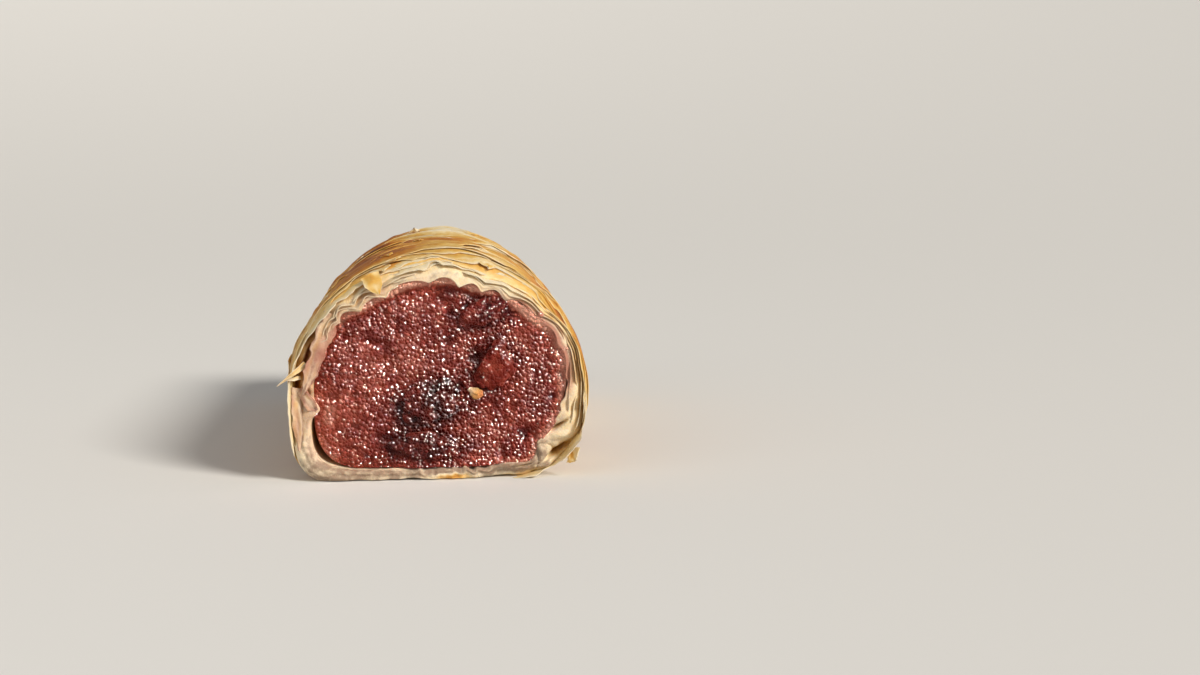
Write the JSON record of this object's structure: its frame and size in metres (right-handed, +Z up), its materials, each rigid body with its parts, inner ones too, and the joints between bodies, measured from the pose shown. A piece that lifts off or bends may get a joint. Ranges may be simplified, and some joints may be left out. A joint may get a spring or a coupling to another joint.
{
  "type": "cherry strudel",
  "caption": "Cut half of a cherry strudel: a roll of flaky leaf pastry round a soft red filling with opened cherries at both cuts, lying on its flat base.",
  "frame": {"origin": "middle of the footprint, on the surface that the roll lies on", "axes": "+Y along the roll, away from the shown cut; +X to the right of that cut; +Z up"},
  "size_m": [0.0686, 0.122, 0.0518],
  "materials": {
    "pastry": "satin",
    "filling": "satin",
    "cherry": "gloss"
  },
  "bodies": {
    "root": {"pastry": "pastry", "filling": "filling", "cherry_centre": "cherry", "cherry_low": "cherry", "cherry_upper": "cherry", "cherry_right": "cherry", "cherry_back_left": "cherry", "cherry_back_right": "cherry", "cherry_back_upper": "cherry"}
  },
  "joints": []
}
